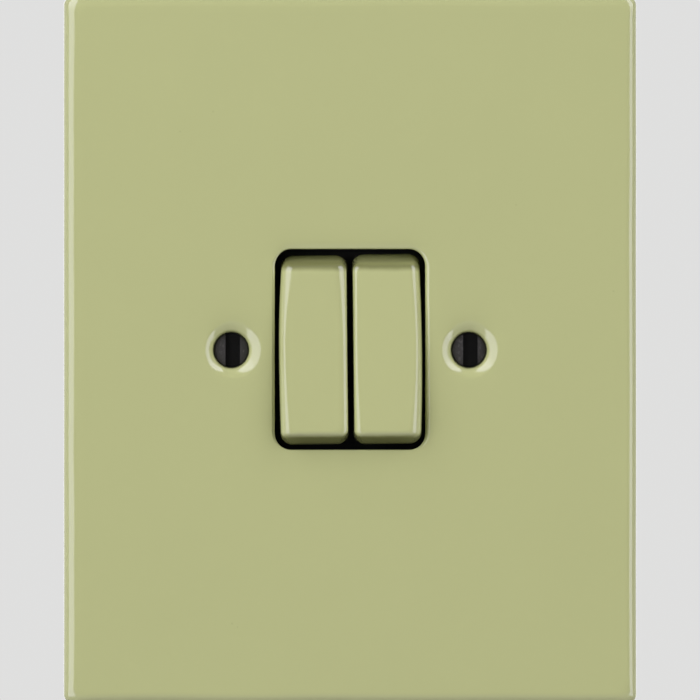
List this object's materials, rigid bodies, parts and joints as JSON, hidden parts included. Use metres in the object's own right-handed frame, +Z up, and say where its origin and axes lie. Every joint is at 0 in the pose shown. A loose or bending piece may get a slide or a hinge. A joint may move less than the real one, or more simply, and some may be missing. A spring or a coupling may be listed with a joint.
{
  "type": "double rocker light switch",
  "caption": "Flush light switch with a glazed porcelain cover plate, paired porcelain rockers and a snap-action contact mechanism on a steel strap.",
  "frame": {"origin": "centre of the cover's back rim, on the wall's surface and midway between the fixing slots", "axes": "+X right as seen from the front, +Y into the wall, +Z up; the face looks along -Y"},
  "size_m": [0.082, 0.0346, 0.1012],
  "materials": {
    "porcelain": "glossy pale green-yellow glaze",
    "black_screw": "satin black",
    "black_moulding": "satin black",
    "base_moulding": "pale grey moulding",
    "zinc_steel": "zinc plated",
    "brass": "plain brass",
    "contact_silver": "silver contact rivet",
    "spring_steel": "bright wire",
    "white_nylon": "natural nylon"
  },
  "bodies": {
    "mechanism": {"cover_plate": "porcelain", "cover_screws": "black_screw", "cover_bushes": "brass", "mounting_strap": "zinc_steel", "mechanism_cover": "black_moulding", "mechanism_base": "base_moulding", "assembly_screws": "zinc_steel", "pivot_pin": "spring_steel", "common_terminal": "brass", "switched_terminal_left": "brass", "switched_terminal_right": "brass", "fixed_contacts": "contact_silver", "terminal_screws": "zinc_steel"},
    "left_rocker": {"rocker_left": "porcelain", "carrier_left": "black_moulding", "plunger_spring_left": "spring_steel"},
    "left_plunger": {"plunger_left": "white_nylon"},
    "left_lever": {"contact_lever_left": "brass", "moving_contact_left": "contact_silver"},
    "right_rocker": {"rocker_right": "porcelain", "carrier_right": "black_moulding", "plunger_spring_right": "spring_steel"},
    "right_plunger": {"plunger_right": "white_nylon"},
    "right_lever": {"contact_lever_right": "brass", "moving_contact_right": "contact_silver"}
  },
  "joints": [
    {"name": "left_rocker_tilt", "type": "hinge", "parent": "mechanism", "child": "left_rocker", "pos_m": [-0.00535, -0.0058, 0], "axis": [1, 0, 0], "range_deg": [0, 11]},
    {"name": "left_lever_rock", "type": "hinge", "parent": "mechanism", "child": "left_lever", "pos_m": [-0.00535, 0.0067, 0], "axis": [-1, 0, 0], "range_deg": [0, 22]},
    {"name": "left_plunger_slide", "type": "slide", "parent": "left_rocker", "child": "left_plunger", "axis": [0, -0.9954, 0.0958], "range_m": [0, 0.0006], "stiffness_N_per_m": 300, "springref_m": -0.004, "deforming": ["plunger_spring_left"]},
    {"name": "right_rocker_tilt", "type": "hinge", "parent": "mechanism", "child": "right_rocker", "pos_m": [0.00535, -0.0058, 0], "axis": [1, 0, 0], "range_deg": [0, 11]},
    {"name": "right_lever_rock", "type": "hinge", "parent": "mechanism", "child": "right_lever", "pos_m": [0.00535, 0.0067, 0], "axis": [-1, 0, 0], "range_deg": [0, 22]},
    {"name": "right_plunger_slide", "type": "slide", "parent": "right_rocker", "child": "right_plunger", "axis": [0, -0.9954, 0.0958], "range_m": [0, 0.0006], "stiffness_N_per_m": 300, "springref_m": -0.004, "deforming": ["plunger_spring_right"]}
  ],
  "couplings": [
    {"joint": "left_lever_rock", "follows": "left_rocker_tilt", "ratio": 2},
    {"joint": "right_lever_rock", "follows": "right_rocker_tilt", "ratio": 2}
  ]
}
